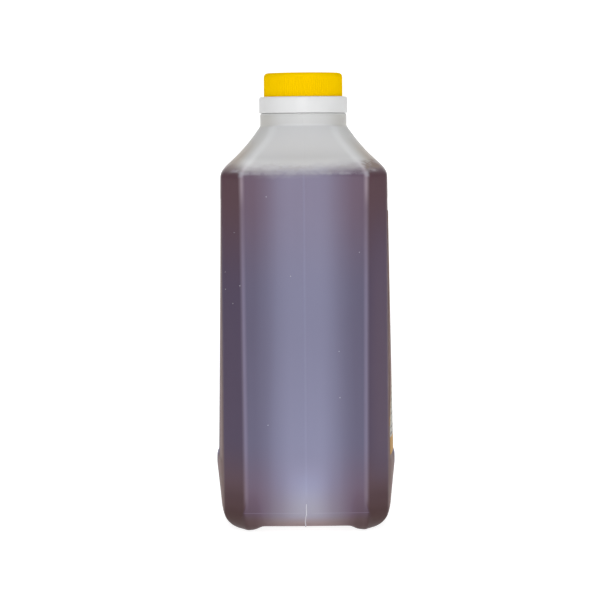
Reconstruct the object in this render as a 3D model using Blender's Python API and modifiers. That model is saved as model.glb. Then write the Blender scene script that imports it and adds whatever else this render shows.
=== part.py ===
"""Honey bottle: a rectangular blow-moulded jug of natural plastic, full of honey, shut by a screw cap.

The origin is the middle of the base. The wide faces look along X, one of them with the label, and the
narrow faces along Y. All sizes are in metres.
"""

import math

import bmesh
import bpy

# Gaps and walls
GAP = 0.0003
WALL = 0.0012

# Body in plan: half-sizes of the narrow panel, of the slanting corner's two edges, and of the crowned faces
PANEL_HALF = 0.0320
NARROW_Y = 0.0660
NARROW_CROWN = 0.0015
CORNER_X = 0.0431
CORNER_Y = 0.0552
WIDE_TOP = 0.0445
WIDE_BELLY = 0.04825
WIDE_BASE = 0.0447
CORNER_ROUND = 0.0040
PANEL_ROUND = 0.0030
ROUND_LOSS = 0.6

# Body in height; the bottom edge turns in further under the wide faces than under the narrow ones
BASE_ROUND = 0.0100
BASE_INSET_WIDE = 0.0120
BASE_INSET_NARROW = 0.0080
BASE_CORNER_SLIDE = 0.12
BASE_ANGLES = (0, 18, 36, 54, 72)
BELLY_Z = 0.0300
BODY_TOP_Z = 0.1836
BODY_RINGS = (0.019, 0.0255, 0.0305)

# Label recess in each wide face
RECESS_LOW = 0.0338
RECESS_HIGH = 0.1740
RECESS_RAMP = 0.0025
RECESS_HALF = 0.0490
RECESS_SIDE_RAMP = 0.0015
RECESS_DEPTH_LOW = 0.00095
RECESS_DEPTH_HIGH = 0.00010
RECESS_RINGS = 4

# Underside: two foot rails along Y with a raised channel between them
CHANNEL_HALF = 0.0232
CHANNEL_HEIGHT = 0.0027
FOOT_INNER = 0.0298

# Shoulder and neck
NECK_Z = 0.2105
NECK_RADIUS = 0.0233
SHOULDER_HANDLE = 0.0068
NECK_HANDLE = 0.0197
NECK_STEEPNESS = 31.4
SHOULDER_RINGS = 7
NECK_RING_TOP = 0.2174
NECK_RING_ROUND = 0.0011
FINISH_RADIUS = 0.0185
MOUTH_Z = 0.2363

# Honey
HONEY_LEVEL = 0.1865
HONEY_ROOM = 0.1960
CUTTER_HEIGHT = 0.0300

# Closure
COLLAR_RADIUS = 0.0238
COLLAR_BOTTOM = NECK_RING_TOP + GAP
COLLAR_TOP = 0.2262
COLLAR_ROUND = 0.0007
CAP_RADIUS = 0.0212
CAP_TOP = 0.2390
CAP_ROUND = 0.0021
CAP_ROOF = 0.0020
CLOSURE_BORE = 0.0192
TURNED_STEPS = 72
SHARP_ANGLE = 35.0

# Label
LABEL_LOW = 0.0368
LABEL_HIGH = 0.1650
LABEL_HALF = 0.0410
LABEL_THICKNESS = 0.00025
LABEL_COLUMNS = 8
LABEL_ROWS = 8

# A quarter of the plan, from the middle of a wide face to the middle of a narrow one
WIDE_STEPS = (0.0, 0.017, 0.034)
NARROW_STEPS = (0.0275, CHANNEL_HALF, 0.012)
NECK_ANGLES = (0, 9, 17, 24, 28, 32, 36, 40, 43, 46, 50, 57, 65, 77)


def clear_scene():
    """Remove every object of the scene."""
    for obj in list(bpy.data.objects):
        bpy.data.objects.remove(obj, do_unlink=True)


def make_collection(name):
    """Return a new collection linked to the scene."""
    collection = bpy.data.collections.new(name)
    bpy.context.scene.collection.children.link(collection)
    return collection


def make_material(name, colour, roughness, alpha=1.0):
    """Return a plastic, paper or food material; none here is metal."""
    material = bpy.data.materials.new(name)
    material.use_nodes = True
    shader = material.node_tree.nodes["Principled BSDF"]
    shader.inputs["Base Color"].default_value = (*colour, 1.0)
    shader.inputs["Roughness"].default_value = roughness
    shader.inputs["Metallic"].default_value = 0.0
    shader.inputs["Alpha"].default_value = alpha
    material.diffuse_color = (*colour, alpha)
    return material


def add_object(name, mesh, collection, material):
    """Link a mesh as a named, smooth-shaded object with its material."""
    obj = bpy.data.objects.new(name, mesh)
    collection.objects.link(obj)
    mesh.materials.append(material)
    mesh.shade_smooth()
    mesh.set_sharp_from_angle(angle=math.radians(SHARP_ANGLE))
    return obj


def mix(a, b, share):
    """Return the value that lies the given share of the way from a to b."""
    return a + (b - a) * share


def clamp(value):
    """Return the value held between 0 and 1."""
    return min(1.0, max(0.0, value))


def wide_middle(z):
    """Half-width of the body at the middle of its wide faces, proud of the recess."""
    if z < BELLY_Z:
        return mix(WIDE_BASE, WIDE_BELLY, z / BELLY_Z)
    return mix(WIDE_BELLY, WIDE_TOP, clamp((z - BELLY_Z) / (BODY_TOP_Z - BELLY_Z)))


def recess_depth(y, z):
    """How deep the label recess lies under the wide face at a place."""
    height = clamp((z - RECESS_LOW) / (RECESS_HIGH - RECESS_LOW))
    depth = mix(RECESS_DEPTH_LOW, RECESS_DEPTH_HIGH, height)
    inside_low = clamp((z - RECESS_LOW) / RECESS_RAMP)
    inside_high = clamp((RECESS_HIGH - z) / RECESS_RAMP)
    inside_side = clamp((RECESS_HALF + RECESS_SIDE_RAMP - abs(y)) / RECESS_SIDE_RAMP)
    return depth * min(inside_low, inside_high, inside_side)


def wide_surface(y, z):
    """X of the wide face at a place: a crown over its depth, less the recess."""
    crown = (wide_middle(z) - CORNER_X) * (1.0 - (y / CORNER_Y) ** 2)
    return CORNER_X + crown - recess_depth(y, z)


def round_corner(before, corner, after, radius):
    """Three points of the arc that rounds the corner of an outline."""
    towards_before = ((before[0] - corner[0]), (before[1] - corner[1]))
    towards_after = ((after[0] - corner[0]), (after[1] - corner[1]))
    length_before = math.hypot(*towards_before)
    length_after = math.hypot(*towards_after)
    one = (towards_before[0] / length_before, towards_before[1] / length_before)
    two = (towards_after[0] / length_after, towards_after[1] / length_after)
    half_angle = math.acos(max(-1.0, min(1.0, one[0] * two[0] + one[1] * two[1]))) / 2.0
    tangent = radius / math.tan(half_angle)
    bisector = (one[0] + two[0], one[1] + two[1])
    bisector_length = math.hypot(*bisector)
    depth = radius / math.sin(half_angle) - radius
    start = (corner[0] + one[0] * tangent, corner[1] + one[1] * tangent)
    middle = (
        corner[0] + bisector[0] / bisector_length * depth,
        corner[1] + bisector[1] / bisector_length * depth,
    )
    end = (corner[0] + two[0] * tangent, corner[1] + two[1] * tangent)
    return [start, middle, end]


def quarter_plan(z, inset):
    """Points of a quarter of the body's plan, from the +X axis to just before the +Y axis.

    inset runs from 0 on the straight side to 1 at the feet.
    """
    inset_x = BASE_INSET_WIDE * inset
    inset_y = BASE_INSET_NARROW * inset
    corner = (CORNER_X - inset_x, CORNER_Y - BASE_CORNER_SLIDE * inset_x)
    edge = (PANEL_HALF - BASE_CORNER_SLIDE * inset_x, NARROW_Y - inset_y)
    face = []
    for y in (*WIDE_STEPS, RECESS_HALF, RECESS_HALF + RECESS_SIDE_RAMP):
        face.append((wide_surface(y, z) - inset_x, y * corner[1] / CORNER_Y))
    narrow = []
    for x in NARROW_STEPS:
        crown = NARROW_CROWN * (1.0 - (x / PANEL_HALF) ** 2)
        narrow.append((x * edge[0] / PANEL_HALF, NARROW_Y + crown - inset_y))
    roundness = 1.0 - ROUND_LOSS * inset
    corner_arc = round_corner(face[-1], corner, edge, CORNER_ROUND * roundness)
    edge_arc = round_corner(corner, edge, narrow[0], PANEL_ROUND * roundness)
    return [*face, *corner_arc, *edge_arc, *narrow]


def full_plan(quarter, top):
    """Mirror a quarter into the whole ring, counter-clockwise from the +X axis; top is the +Y point."""
    upper = [*quarter, top]
    upper += [(-x, y) for x, y in reversed(quarter)]
    lower = [(x, -y) for x, y in reversed(upper[1:-1])]
    return upper + lower


def body_plan(z, inset=0.0):
    """The whole ring of the body at one height."""
    return full_plan(quarter_plan(z, inset), (0.0, NARROW_Y + NARROW_CROWN - BASE_INSET_NARROW * inset))


def neck_plan(radius):
    """A circle whose points match those of the body's ring."""
    angles = [math.radians(angle) for angle in NECK_ANGLES]
    return full_plan([(radius * math.cos(a), radius * math.sin(a)) for a in angles], (0.0, radius))


def floor_height(x):
    """Height of the underside over the base at a distance from the middle: channel, slope, foot."""
    share = clamp((FOOT_INNER - abs(x)) / (FOOT_INNER - CHANNEL_HALF))
    return CHANNEL_HEIGHT * share * share


def base_rings():
    """Rings of the rounded bottom edge, from the feet up to the straight side."""
    rings = []
    for degrees in BASE_ANGLES:
        angle = math.radians(degrees)
        z = BASE_ROUND * (1.0 - math.cos(angle))
        plan = body_plan(z, 1.0 - math.sin(angle))
        rings.append([(x, y, max(z, floor_height(x))) for x, y in plan])
    return rings


def side_rings():
    """Rings of the body between the bottom edge and the shoulder, with the recess's own levels."""
    lowest = RECESS_LOW + RECESS_RAMP
    highest = RECESS_HIGH - RECESS_RAMP
    levels = [BASE_ROUND, *BODY_RINGS, RECESS_LOW]
    levels += [mix(lowest, highest, i / RECESS_RINGS) for i in range(RECESS_RINGS + 1)]
    levels += [RECESS_HIGH, BODY_TOP_Z]
    return [[(x, y, z) for x, y in body_plan(z)] for z in levels]


def shoulder_rings():
    """Rings that lead from the body's plan to the round neck, on one curve."""
    body = body_plan(BODY_TOP_Z)
    neck = neck_plan(NECK_RADIUS)
    rings = []
    for i in range(1, SHOULDER_RINGS + 1):
        s = i / SHOULDER_RINGS
        share = 3 * (1 - s) * s * s * (1 - NECK_STEEPNESS * NECK_HANDLE) + s**3
        z = (1 - s) ** 3 * BODY_TOP_Z
        z += 3 * (1 - s) ** 2 * s * (BODY_TOP_Z + SHOULDER_HANDLE)
        z += 3 * (1 - s) * s * s * (NECK_Z - NECK_HANDLE)
        z += s**3 * NECK_Z
        rings.append([(mix(b[0], n[0], share), mix(b[1], n[1], share), z) for b, n in zip(body, neck)])
    return rings


def neck_rings():
    """Rings of the neck bead and of the plain finish inside the closure, up to the mouth."""
    profile = (
        (NECK_RADIUS, NECK_RING_TOP - NECK_RING_ROUND),
        (NECK_RADIUS - NECK_RING_ROUND, NECK_RING_TOP),
        (FINISH_RADIUS, NECK_RING_TOP),
        (FINISH_RADIUS, MOUTH_Z),
    )
    return [[(x, y, z) for x, y in neck_plan(radius)] for radius, z in profile]


def loft(rings):
    """Return a bmesh of quads between rings of equal count, the first ring at the bottom."""
    bm = bmesh.new()
    loops = [[bm.verts.new(point) for point in ring] for ring in rings]
    count = len(rings[0])
    for low, high in zip(loops, loops[1:]):
        for i in range(count):
            j = (i + 1) % count
            bm.faces.new((low[i], low[j], high[j], high[i]))
    close_underside(bm, loops[0])
    return bm, loops


def close_underside(bm, loop):
    """Close the lowest ring with strips along Y, each between a point and its mirror image."""
    half = len(loop) // 2
    for i in range(half):
        near, far = loop[i], loop[-i] if i else loop[0]
        next_near, next_far = loop[i + 1], loop[-(i + 1)]
        corners = []
        for vert in (near, far, next_far, next_near):
            if vert not in corners:
                corners.append(vert)
        bm.faces.new(corners)


def finish_mesh(bm, name):
    """Point the faces outwards and return the mesh."""
    bmesh.ops.recalc_face_normals(bm, faces=bm.faces)
    mesh = bpy.data.meshes.new(name)
    bm.to_mesh(mesh)
    bm.free()
    return mesh


def outward(bm):
    """Recalculate the normals of an open jug so that they point away from its inside."""
    bmesh.ops.recalc_face_normals(bm, faces=bm.faces)
    lowest = min(bm.faces, key=lambda face: face.calc_center_median().z)
    if lowest.normal.z > 0:
        bmesh.ops.reverse_faces(bm, faces=bm.faces)


def make_bottle(collection, material):
    """The blown jug: one open surface with an even wall, open at its mouth."""
    bm, _ = loft([*base_rings(), *side_rings(), *shoulder_rings(), *neck_rings()])
    outward(bm)
    mesh = bpy.data.meshes.new("bottle")
    bm.to_mesh(mesh)
    bm.free()
    obj = add_object("bottle", mesh, collection, material)
    wall = obj.modifiers.new("wall", "SOLIDIFY")
    wall.thickness = WALL
    wall.offset = -1.0
    wall.use_even_offset = True
    return obj


def make_honey(collection, cutters, material):
    """The honey: the jug's inside, a hair clear of the wall, cut off level."""
    levels = [ring for ring in shoulder_rings() if ring[0][2] < HONEY_ROOM]
    bm, loops = loft([*base_rings(), *side_rings(), *levels])
    bm.faces.new(loops[-1])
    bmesh.ops.recalc_face_normals(bm, faces=bm.faces)
    bm.normal_update()
    moves = [vert.normal * -(WALL + GAP) * vert.calc_shell_factor() for vert in bm.verts]
    for vert, move in zip(bm.verts, moves):
        vert.co += move
    obj = add_object("honey", finish_mesh(bm, "honey"), collection, material)
    level = box_cutter("above_honey", cutters, HONEY_LEVEL, CUTTER_HEIGHT)
    cut = obj.modifiers.new("level", "BOOLEAN")
    cut.operation = "DIFFERENCE"
    cut.object = level
    return obj


def box_cutter(name, collection, bottom, height):
    """A box over the whole plan, used only to cut."""
    bm = bmesh.new()
    bmesh.ops.create_cube(bm, size=1.0)
    bmesh.ops.scale(bm, vec=(4 * CORNER_X, 4 * NARROW_Y, height), verts=bm.verts)
    bmesh.ops.translate(bm, vec=(0, 0, bottom + height / 2), verts=bm.verts)
    obj = bpy.data.objects.new(name, finish_mesh(bm, name))
    collection.objects.link(obj)
    obj.hide_render = True
    obj.display_type = "WIRE"
    return obj


def arc(centre, radius, first, last, steps=3):
    """Points of an arc in the XZ plane, angles in degrees from +X towards +Z."""
    points = []
    for i in range(steps + 1):
        angle = math.radians(mix(first, last, i / steps))
        points.append((centre[0] + radius * math.cos(angle), centre[1] + radius * math.sin(angle)))
    return points


def turned(name, profile, closed, collection, material):
    """Turn a profile in the XZ plane round the Z axis."""
    bm = bmesh.new()
    verts = [bm.verts.new((x, 0.0, z)) for x, z in profile]
    for a, b in zip(verts, verts[1:]):
        bm.edges.new((a, b))
    if closed:
        bm.edges.new((verts[-1], verts[0]))
    mesh = bpy.data.meshes.new(name)
    bm.to_mesh(mesh)
    bm.free()
    obj = add_object(name, mesh, collection, material)
    screw = obj.modifiers.new("turn", "SCREW")
    screw.axis = "Z"
    screw.angle = math.tau
    screw.steps = TURNED_STEPS
    screw.render_steps = TURNED_STEPS
    screw.use_merge_vertices = True
    screw.merge_threshold = 0.00001
    screw.use_smooth_shade = True
    return obj


def make_collar(collection, material):
    """The tamper-evident collar: a plain ring that rests on the neck bead."""
    c = COLLAR_ROUND
    outer = COLLAR_RADIUS - c
    profile = [(CLOSURE_BORE, COLLAR_TOP)]
    profile += arc((outer, COLLAR_TOP - c), c, 90, 0)
    profile += arc((outer, COLLAR_BOTTOM + c), c, 0, -90)
    profile += [(CLOSURE_BORE, COLLAR_BOTTOM)]
    return turned("tamper_ring", profile, True, collection, material)


def make_cap(collection, material):
    """The screw cap: a roof and a skirt round the neck's finish."""
    c = CAP_ROUND
    bottom = COLLAR_TOP + GAP
    profile = [(0.0, CAP_TOP)]
    profile += arc((CAP_RADIUS - c, CAP_TOP - c), c, 90, 0, 4)
    profile += [(CAP_RADIUS, bottom), (CLOSURE_BORE, bottom)]
    profile += [(CLOSURE_BORE, CAP_TOP - CAP_ROOF), (0.0, CAP_TOP - CAP_ROOF)]
    return turned("cap", profile, False, collection, material)


def make_label(collection, material):
    """The label: a thin sheet that follows the recess of one wide face."""
    bm = bmesh.new()
    bmesh.ops.create_grid(bm, x_segments=LABEL_COLUMNS, y_segments=LABEL_ROWS, size=1.0)
    for vert in bm.verts:
        y = vert.co.x * LABEL_HALF
        z = mix(LABEL_LOW, LABEL_HIGH, (vert.co.y + 1.0) / 2.0)
        vert.co = (wide_surface(y, z) + GAP, y, z)
    if sum(face.normal.x for face in bm.faces) < 0:
        bmesh.ops.reverse_faces(bm, faces=bm.faces)
    bm.normal_update()
    mesh = bpy.data.meshes.new("label")
    bm.to_mesh(mesh)
    bm.free()
    obj = add_object("label", mesh, collection, material)
    sheet = obj.modifiers.new("thickness", "SOLIDIFY")
    sheet.thickness = LABEL_THICKNESS
    sheet.offset = 1.0
    return obj


def main():
    """Build the bottle, its honey, its closure and its label."""
    clear_scene()
    parts = make_collection("honey_bottle")
    cutters = make_collection("cutters")
    natural = make_material("natural_plastic", (0.62, 0.62, 0.60), 0.38, 0.6)
    honey = make_material("honey", (0.10, 0.045, 0.035), 0.15)
    yellow = make_material("yellow_plastic", (0.98, 0.62, 0.005), 0.40)
    white = make_material("white_plastic", (0.80, 0.81, 0.80), 0.40)
    paper = make_material("label_paper", (0.70, 0.62, 0.50), 0.55)
    make_bottle(parts, natural)
    make_honey(parts, cutters, honey)
    make_cap(parts, yellow)
    make_collar(parts, white)
    make_label(parts, paper)


main()
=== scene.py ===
import logging
import math
import random
from collections.abc import Callable, Iterator, Sequence
from contextlib import contextmanager
from dataclasses import dataclass
from enum import Enum

import bmesh
import bpy
from mathutils import Matrix, Vector


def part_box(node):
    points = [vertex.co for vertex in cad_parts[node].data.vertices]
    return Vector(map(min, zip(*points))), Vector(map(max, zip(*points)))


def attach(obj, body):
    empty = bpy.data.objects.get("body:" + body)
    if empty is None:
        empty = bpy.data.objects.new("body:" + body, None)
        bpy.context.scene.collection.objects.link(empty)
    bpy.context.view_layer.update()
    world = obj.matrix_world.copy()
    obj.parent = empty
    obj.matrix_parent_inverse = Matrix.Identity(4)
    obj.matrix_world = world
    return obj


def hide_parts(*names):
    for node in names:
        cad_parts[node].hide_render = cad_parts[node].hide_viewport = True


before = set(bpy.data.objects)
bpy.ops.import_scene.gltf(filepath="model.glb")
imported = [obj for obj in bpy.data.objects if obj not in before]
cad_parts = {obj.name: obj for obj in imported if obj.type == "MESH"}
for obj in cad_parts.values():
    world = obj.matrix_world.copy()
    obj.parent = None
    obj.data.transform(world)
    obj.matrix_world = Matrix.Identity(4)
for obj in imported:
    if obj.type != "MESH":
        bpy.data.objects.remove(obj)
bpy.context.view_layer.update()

# A honey bottle: a milky blow-moulded jug full of dark honey, its closure and its label. Sizes are in metres.

LOG = logging.getLogger("honey_bottle")
BODY = "root"
NEAR = 1e-6
Colour = tuple[float, float, float]
Point = tuple[float, float, float]
Ring = list[Point]
Plan = list[tuple[float, float]]
Rows = tuple[tuple[float, ...], ...]


class Slot(Enum):
    """The record's material slots."""

    WALL = "natural_plastic"
    HONEY = "honey"
    CAP = "yellow_plastic"
    COLLAR = "white_plastic"
    LABEL = "label_paper"


class Side(Enum):
    """A side of the jug on which something repeats."""

    FRONT = -1
    BACK = 1


def mix(a: float, b: float, share: float) -> float:
    """Return the value that lies the given share of the way from a to b."""
    return a + (b - a) * share


def clamp(value: float) -> float:
    """Return the value held between 0 and 1."""
    return min(1.0, max(0.0, value))


def ease(value: float) -> float:
    """Return a share eased at both ends."""
    value = clamp(value)
    return value * value * (3.0 - 2.0 * value)


# Shader graphs


class Value:
    """A shader socket that can be used in Python expressions."""

    def __init__(self, graph: "Graph", socket: bpy.types.NodeSocket) -> None:
        """Wrap a socket of a graph."""
        self.graph = graph
        self.socket = socket

    def _math(self, operation: str, *others: "float | Value") -> "Value":
        """Add a Math node with this value first."""
        return self.graph.node("ShaderNodeMath", {"operation": operation}, (self, *others))

    def __add__(self, other: "float | Value") -> "Value":
        """Sum."""
        return self._math("ADD", other)

    __radd__ = __add__

    def __mul__(self, other: "float | Value") -> "Value":
        """Product."""
        return self._math("MULTIPLY", other)

    __rmul__ = __mul__

    def __sub__(self, other: "float | Value") -> "Value":
        """Difference."""
        return self._math("SUBTRACT", other)

    def __truediv__(self, other: "float | Value") -> "Value":
        """Quotient."""
        return self._math("DIVIDE", other)

    def __abs__(self) -> "Value":
        """Size without its sign."""
        return self._math("ABSOLUTE")

    def cos(self) -> "Value":
        """Cosine."""
        return self._math("COSINE")

    def larger(self, other: "float | Value") -> "Value":
        """The larger of two values."""
        return self._math("MAXIMUM", other)

    def step(self, low: float, high: float) -> "Value":
        """Smooth rise from 0 at low to 1 at high; a low above high makes it fall."""
        settings = {"interpolation_type": "SMOOTHSTEP"}
        if low < high:
            return self.graph.node("ShaderNodeMapRange", settings, (self, low, high, 0.0, 1.0))
        return self.graph.node("ShaderNodeMapRange", settings, (self, high, low, 1.0, 0.0))

    def band(self, low: float, high: float, soft: float) -> "Value":
        """1 between low and high, with soft edges."""
        return self.step(low - soft, low + soft) * self.step(high + soft, high - soft)


class Graph:
    """The node graph of one new material."""

    def __init__(self, name: str) -> None:
        """Start an empty material."""
        self.material = bpy.data.materials.new(name)
        self.material.use_nodes = True
        self.tree = self.material.node_tree
        self.tree.nodes.clear()
        coordinates = self.tree.nodes.new("ShaderNodeTexCoord")
        self.place = Value(self, coordinates.outputs["Object"])
        self.x, self.y, self.z = self.split(self.place)

    def put(self, target: bpy.types.NodeSocket, value: object) -> None:
        """Link or set a socket's value."""
        if isinstance(value, Value):
            self.tree.links.new(value.socket, target)
        elif value is not None:
            target.default_value = value

    def node(self, kind: str, settings: dict, sockets: "Sequence | dict", output: int | str = 0) -> Value:
        """Add a node.

        Args:
            kind: the node's type.
            settings: its properties, set first.
            sockets: values or links, in order or by the socket's name.
            output: which output to return.

        Returns:
            The chosen output.
        """
        made = self.tree.nodes.new(kind)
        for key, value in settings.items():
            setattr(made, key, value)
        named = sockets.items() if isinstance(sockets, dict) else enumerate(sockets)
        for key, value in named:
            self.put(made.inputs[key], value)
        return Value(self, made.outputs[output])

    def split(self, vector: Value) -> tuple[Value, Value, Value]:
        """Return the three parts of a vector."""
        made = self.tree.nodes.new("ShaderNodeSeparateXYZ")
        self.put(made.inputs[0], vector)
        return tuple(Value(self, output) for output in made.outputs)

    def scaled_place(self, scale: tuple[float, float, float]) -> Value:
        """Return the object coordinates, scaled along each axis."""
        return self.node("ShaderNodeMapping", {}, {"Vector": self.place, "Scale": scale})

    def noise(self, scale: float, detail: float = 2.0, place: Value | None = None, rough: float = 0.5) -> Value:
        """Return a noise between 0 and 1 over the object."""
        sockets = {"Vector": place or self.place, "Scale": scale, "Detail": detail, "Roughness": rough}
        return self.node("ShaderNodeTexNoise", {}, sockets, "Fac")

    def blend(self, share: Value, first: object, second: object) -> Value:
        """Return a mix of two colours."""
        made = self.tree.nodes.new("ShaderNodeMix")
        made.data_type = "RGBA"
        self.put(made.inputs["Factor"], share)
        for name, colour in (("A", first), ("B", second)):
            socket = next(s for s in made.inputs if s.name == name and s.type == "RGBA")
            self.put(socket, colour if isinstance(colour, Value) else (*colour, 1.0))
        return Value(self, next(s for s in made.outputs if s.type == "RGBA"))

    def layers(self, colour: object, layers: "Sequence[tuple[Value, object]]") -> Value:
        """Lay colours over a first one, each by its own mask."""
        for mask, tint in layers:
            colour = self.blend(mask, colour, tint)
        return colour

    def bump(self, height: Value, strength: float, distance: float) -> Value:
        """Return the normal of a relief."""
        sockets = {"Strength": strength, "Distance": distance, "Height": height}
        return self.node("ShaderNodeBump", {}, sockets, "Normal")

    def finish(self, sockets: dict) -> bpy.types.Material:
        """Feed a Principled shader and return the material."""
        shader = self.tree.nodes.new("ShaderNodeBsdfPrincipled")
        for key, value in sockets.items():
            if isinstance(value, tuple) and len(value) == 3:
                value = (*value, 1.0)
            self.put(shader.inputs[key], value)
        output = self.tree.nodes.new("ShaderNodeOutputMaterial")
        self.tree.links.new(shader.outputs["BSDF"], output.inputs["Surface"])
        return self.material


@dataclass(frozen=True)
class Fade:
    """A smooth change from nothing at one place to full strength at another."""

    start: float
    end: float
    strength: float = 1.0

    def at(self, value: Value) -> Value:
        """Return the strength at a shader value."""
        share = value.step(self.start, self.end)
        return share if self.strength == 1.0 else share * self.strength


@dataclass(frozen=True)
class Band:
    """A stripe between two places, with soft edges."""

    start: float
    end: float
    soft: float

    def at(self, value: Value) -> Value:
        """Return how far a shader value lies in the stripe, 0 to 1."""
        return value.band(self.start, self.end, self.soft)


class WallPlaces:
    """Shader values that say where a place lies on the jug's wall."""

    ridge_x: float = 0.0312
    ridge_lean: float = 0.0056

    def __init__(self, name: str, shape: "JugShape", level: float) -> None:
        """Start the wall's material.

        Args:
            name: the material's name.
            shape: the jug's shape.
            level: the honey's height.
        """
        graph = Graph(name)
        self.graph = graph
        self.x, self.y, self.z = abs(graph.x), abs(graph.y), graph.z
        self.above = graph.z - level
        self.past_corner = self.x - shape.corner_x
        self.above_neck = graph.z - shape.neck_z
        self.above_bead = graph.z - shape.bead_top
        neck_edge = shape.neck_radius * math.cos(math.radians(shape.ridge_angle))
        rise = graph.z.step(shape.body_top, shape.neck_z) * (neck_edge - shape.panel_half)
        # How far outside the ridge that runs up each panel's edge and over to the neck
        self.outside = self.x - (graph.z * self.ridge_lean + self.ridge_x + rise)


@dataclass(frozen=True)
class WallOverAir:
    """The wall over the air: a painted highlight on the ridges, and painted shade, darker and warmer, on the flanks.
    """

    middle: Colour = (0.845, 0.845, 0.85)
    low: Colour = (0.765, 0.765, 0.77)
    # Painted highlight on the ridges
    painted_ridge_highlight: Colour = (0.9, 0.905, 0.91)
    # Painted shade on the shoulder's flanks, deeper and warmer towards the outline
    flank_painted_shade_near: Colour = (0.76, 0.76, 0.755)
    flank_painted_shade_far: Colour = (0.59, 0.585, 0.57)
    # Honey film low on the flanks, darkened with the painted flank shade
    rim: Colour = (0.53, 0.455, 0.385)
    neck: Colour = (0.78, 0.78, 0.77)
    # Painted shade on the sides of the round neck
    neck_painted_side_shade: Colour = (0.7, 0.685, 0.65)
    lip: Colour = (0.81, 0.81, 0.8)
    to_low: Fade = Fade(0.014, 0.005)
    to_flank: Fade = Fade(0.0002, 0.0026)
    down_flank: Fade = Fade(0.001, 0.008)
    to_rim: Fade = Fade(0.206, 0.1945)
    on_painted_ridge_highlight: Band = Band(-0.0024, 0.0002, 0.0018)
    neck_bow: Fade = Fade(0.021, 0.008, 0.0014)
    to_neck: Fade = Fade(-0.0012, 0.0004)
    round_neck: Fade = Fade(0.01, 0.022)
    to_lip: Fade = Fade(-0.0014, -0.0004)

    def colour(self, wall: WallPlaces) -> Value:
        """Lay the tints over each other.

        Args:
            wall: where a place lies.

        Returns:
            The colour over the air.
        """
        graph = wall.graph
        # Painted shade on the shoulder's flanks, deeper and warmer towards the outline
        down = self.down_flank.at(wall.outside)
        front = graph.blend(self.to_low.at(wall.above), self.middle, self.low)
        flank_painted_shade = graph.blend(down, self.flank_painted_shade_near, self.flank_painted_shade_far)
        # Painted shade on the sides of the round neck
        neck = graph.blend(self.round_neck.at(wall.x), self.neck, self.neck_painted_side_shade)
        neck = graph.blend(self.to_lip.at(wall.above_bead), neck, self.lip)
        return graph.layers(front, (
            (self.to_flank.at(wall.outside), flank_painted_shade),
            # Honey film low on the flanks, darkened with the painted flank shade
            (down * self.to_rim.at(wall.z), self.rim),
            # A painted highlight along the ridges
            (self.on_painted_ridge_highlight.at(wall.outside), self.painted_ridge_highlight),
            (self.to_neck.at(wall.above_neck - self.neck_bow.at(wall.x)), neck),
        ))


@dataclass(frozen=True)
class HazeAndPaintedLight:
    """How light the wall is over the honey, 0 to 1: its milkiness, with painted light and shade in it.

    It is low on the chamfers and at the lower corners of the narrow faces, which is painted shade, and high in the
    middle of each face, where the bluish milkiness of the narrow faces carries a painted highlight; it is highest
    low in the middle of the narrow faces, a painted reflection of the floor, and a painted highlight line runs where
    the narrow faces turn under.
    """

    narrow_base: float = 0.24
    narrow_middle: float = 0.3
    wide_base: float = 0.1
    painted_crease_highlight: float = 0.1
    foot_share: float = 0.6
    foot_spread: Fade = Fade(0.015, 0.01, 0.0013)
    foot_soften: Fade = Fade(0.011, 0.005, 3.0)
    narrow_edge: Fade = Fade(0.001, -0.0008)
    wide_edge: Fade = Fade(-0.0003, 0.0008)
    # Painted highlight in the middle of the narrow faces, raised low down by a painted reflection of the floor
    to_narrow_middle: Fade = Fade(0.028, 0.006)
    lower_middle: Fade = Fade(0.11, 0.02, 0.1)
    lower_face: Fade = Fade(0.12, 0.04, 0.04)
    to_wide_middle: Fade = Fade(0.036, 0.006, 0.42)
    # Painted reflection of the floor, low in the middle of the narrow faces
    painted_floor_reflection: Fade = Fade(0.0155, 0.0, 0.34)
    painted_floor_reflection_top: Fade = Fade(0.042, 0.012)
    painted_floor_reflection_foot: Fade = Fade(0.001, 0.012)
    # Painted shade at the lower corners of the narrow faces
    painted_corner_shade: Fade = Fade(0.015, 0.029, 0.1)
    painted_corner_shade_low: Fade = Fade(0.026, 0.008)
    seam: Fade = Fade(0.0009, 0.0002, 0.05)
    # A painted highlight line where the narrow faces turn under
    painted_crease_line: Band = Band(0.00995, 0.01035, 0.0002)
    # Less milkiness at the foot, which darkens it: painted shade
    from_foot: Fade = Fade(-0.002, 0.01, 0.4)

    def amount(self, wall: WallPlaces) -> Value:
        """Add up the milky patches and the painted light and shade.

        Args:
            wall: where a place lies.

        Returns:
            The milkiness, with its painted light and shade.
        """
        x, z = wall.x, wall.z
        spread = wall.outside - self.foot_spread.at(z)
        on_narrow = self.narrow_edge.at(spread / (self.foot_soften.at(z) + 1.0))
        on_wide = self.wide_edge.at(wall.past_corner)
        # Painted highlight in the middle of each narrow face, stronger low down as a painted reflection of the floor
        middle = self.to_narrow_middle.at(x) * (self.lower_middle.at(z) + self.narrow_middle)
        # Painted reflection of the floor, low in the middle of the narrow faces
        painted_floor_reflection = self.painted_floor_reflection.at(x) * self.painted_floor_reflection_top.at(z) * self.painted_floor_reflection_foot.at(z)
        # Painted shade at the lower corners of the narrow faces
        painted_corner_shade = self.painted_corner_shade.at(x) * self.painted_corner_shade_low.at(z)
        narrow = self.lower_face.at(z) + self.narrow_base + middle + painted_floor_reflection - painted_corner_shade + self.seam.at(x)
        # The chamfers between the faces get none of it and stay dark: painted shade
        face = on_narrow * narrow + on_wide * (self.to_wide_middle.at(wall.y) + self.wide_base)
        # A painted highlight line where the narrow faces turn under
        painted_crease_highlight = self.painted_crease_line.at(z) * on_narrow * self.painted_crease_highlight
        # Less at the foot, which darkens it: painted shade
        return face * (self.from_foot.at(z) + self.foot_share) + painted_crease_highlight


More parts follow.
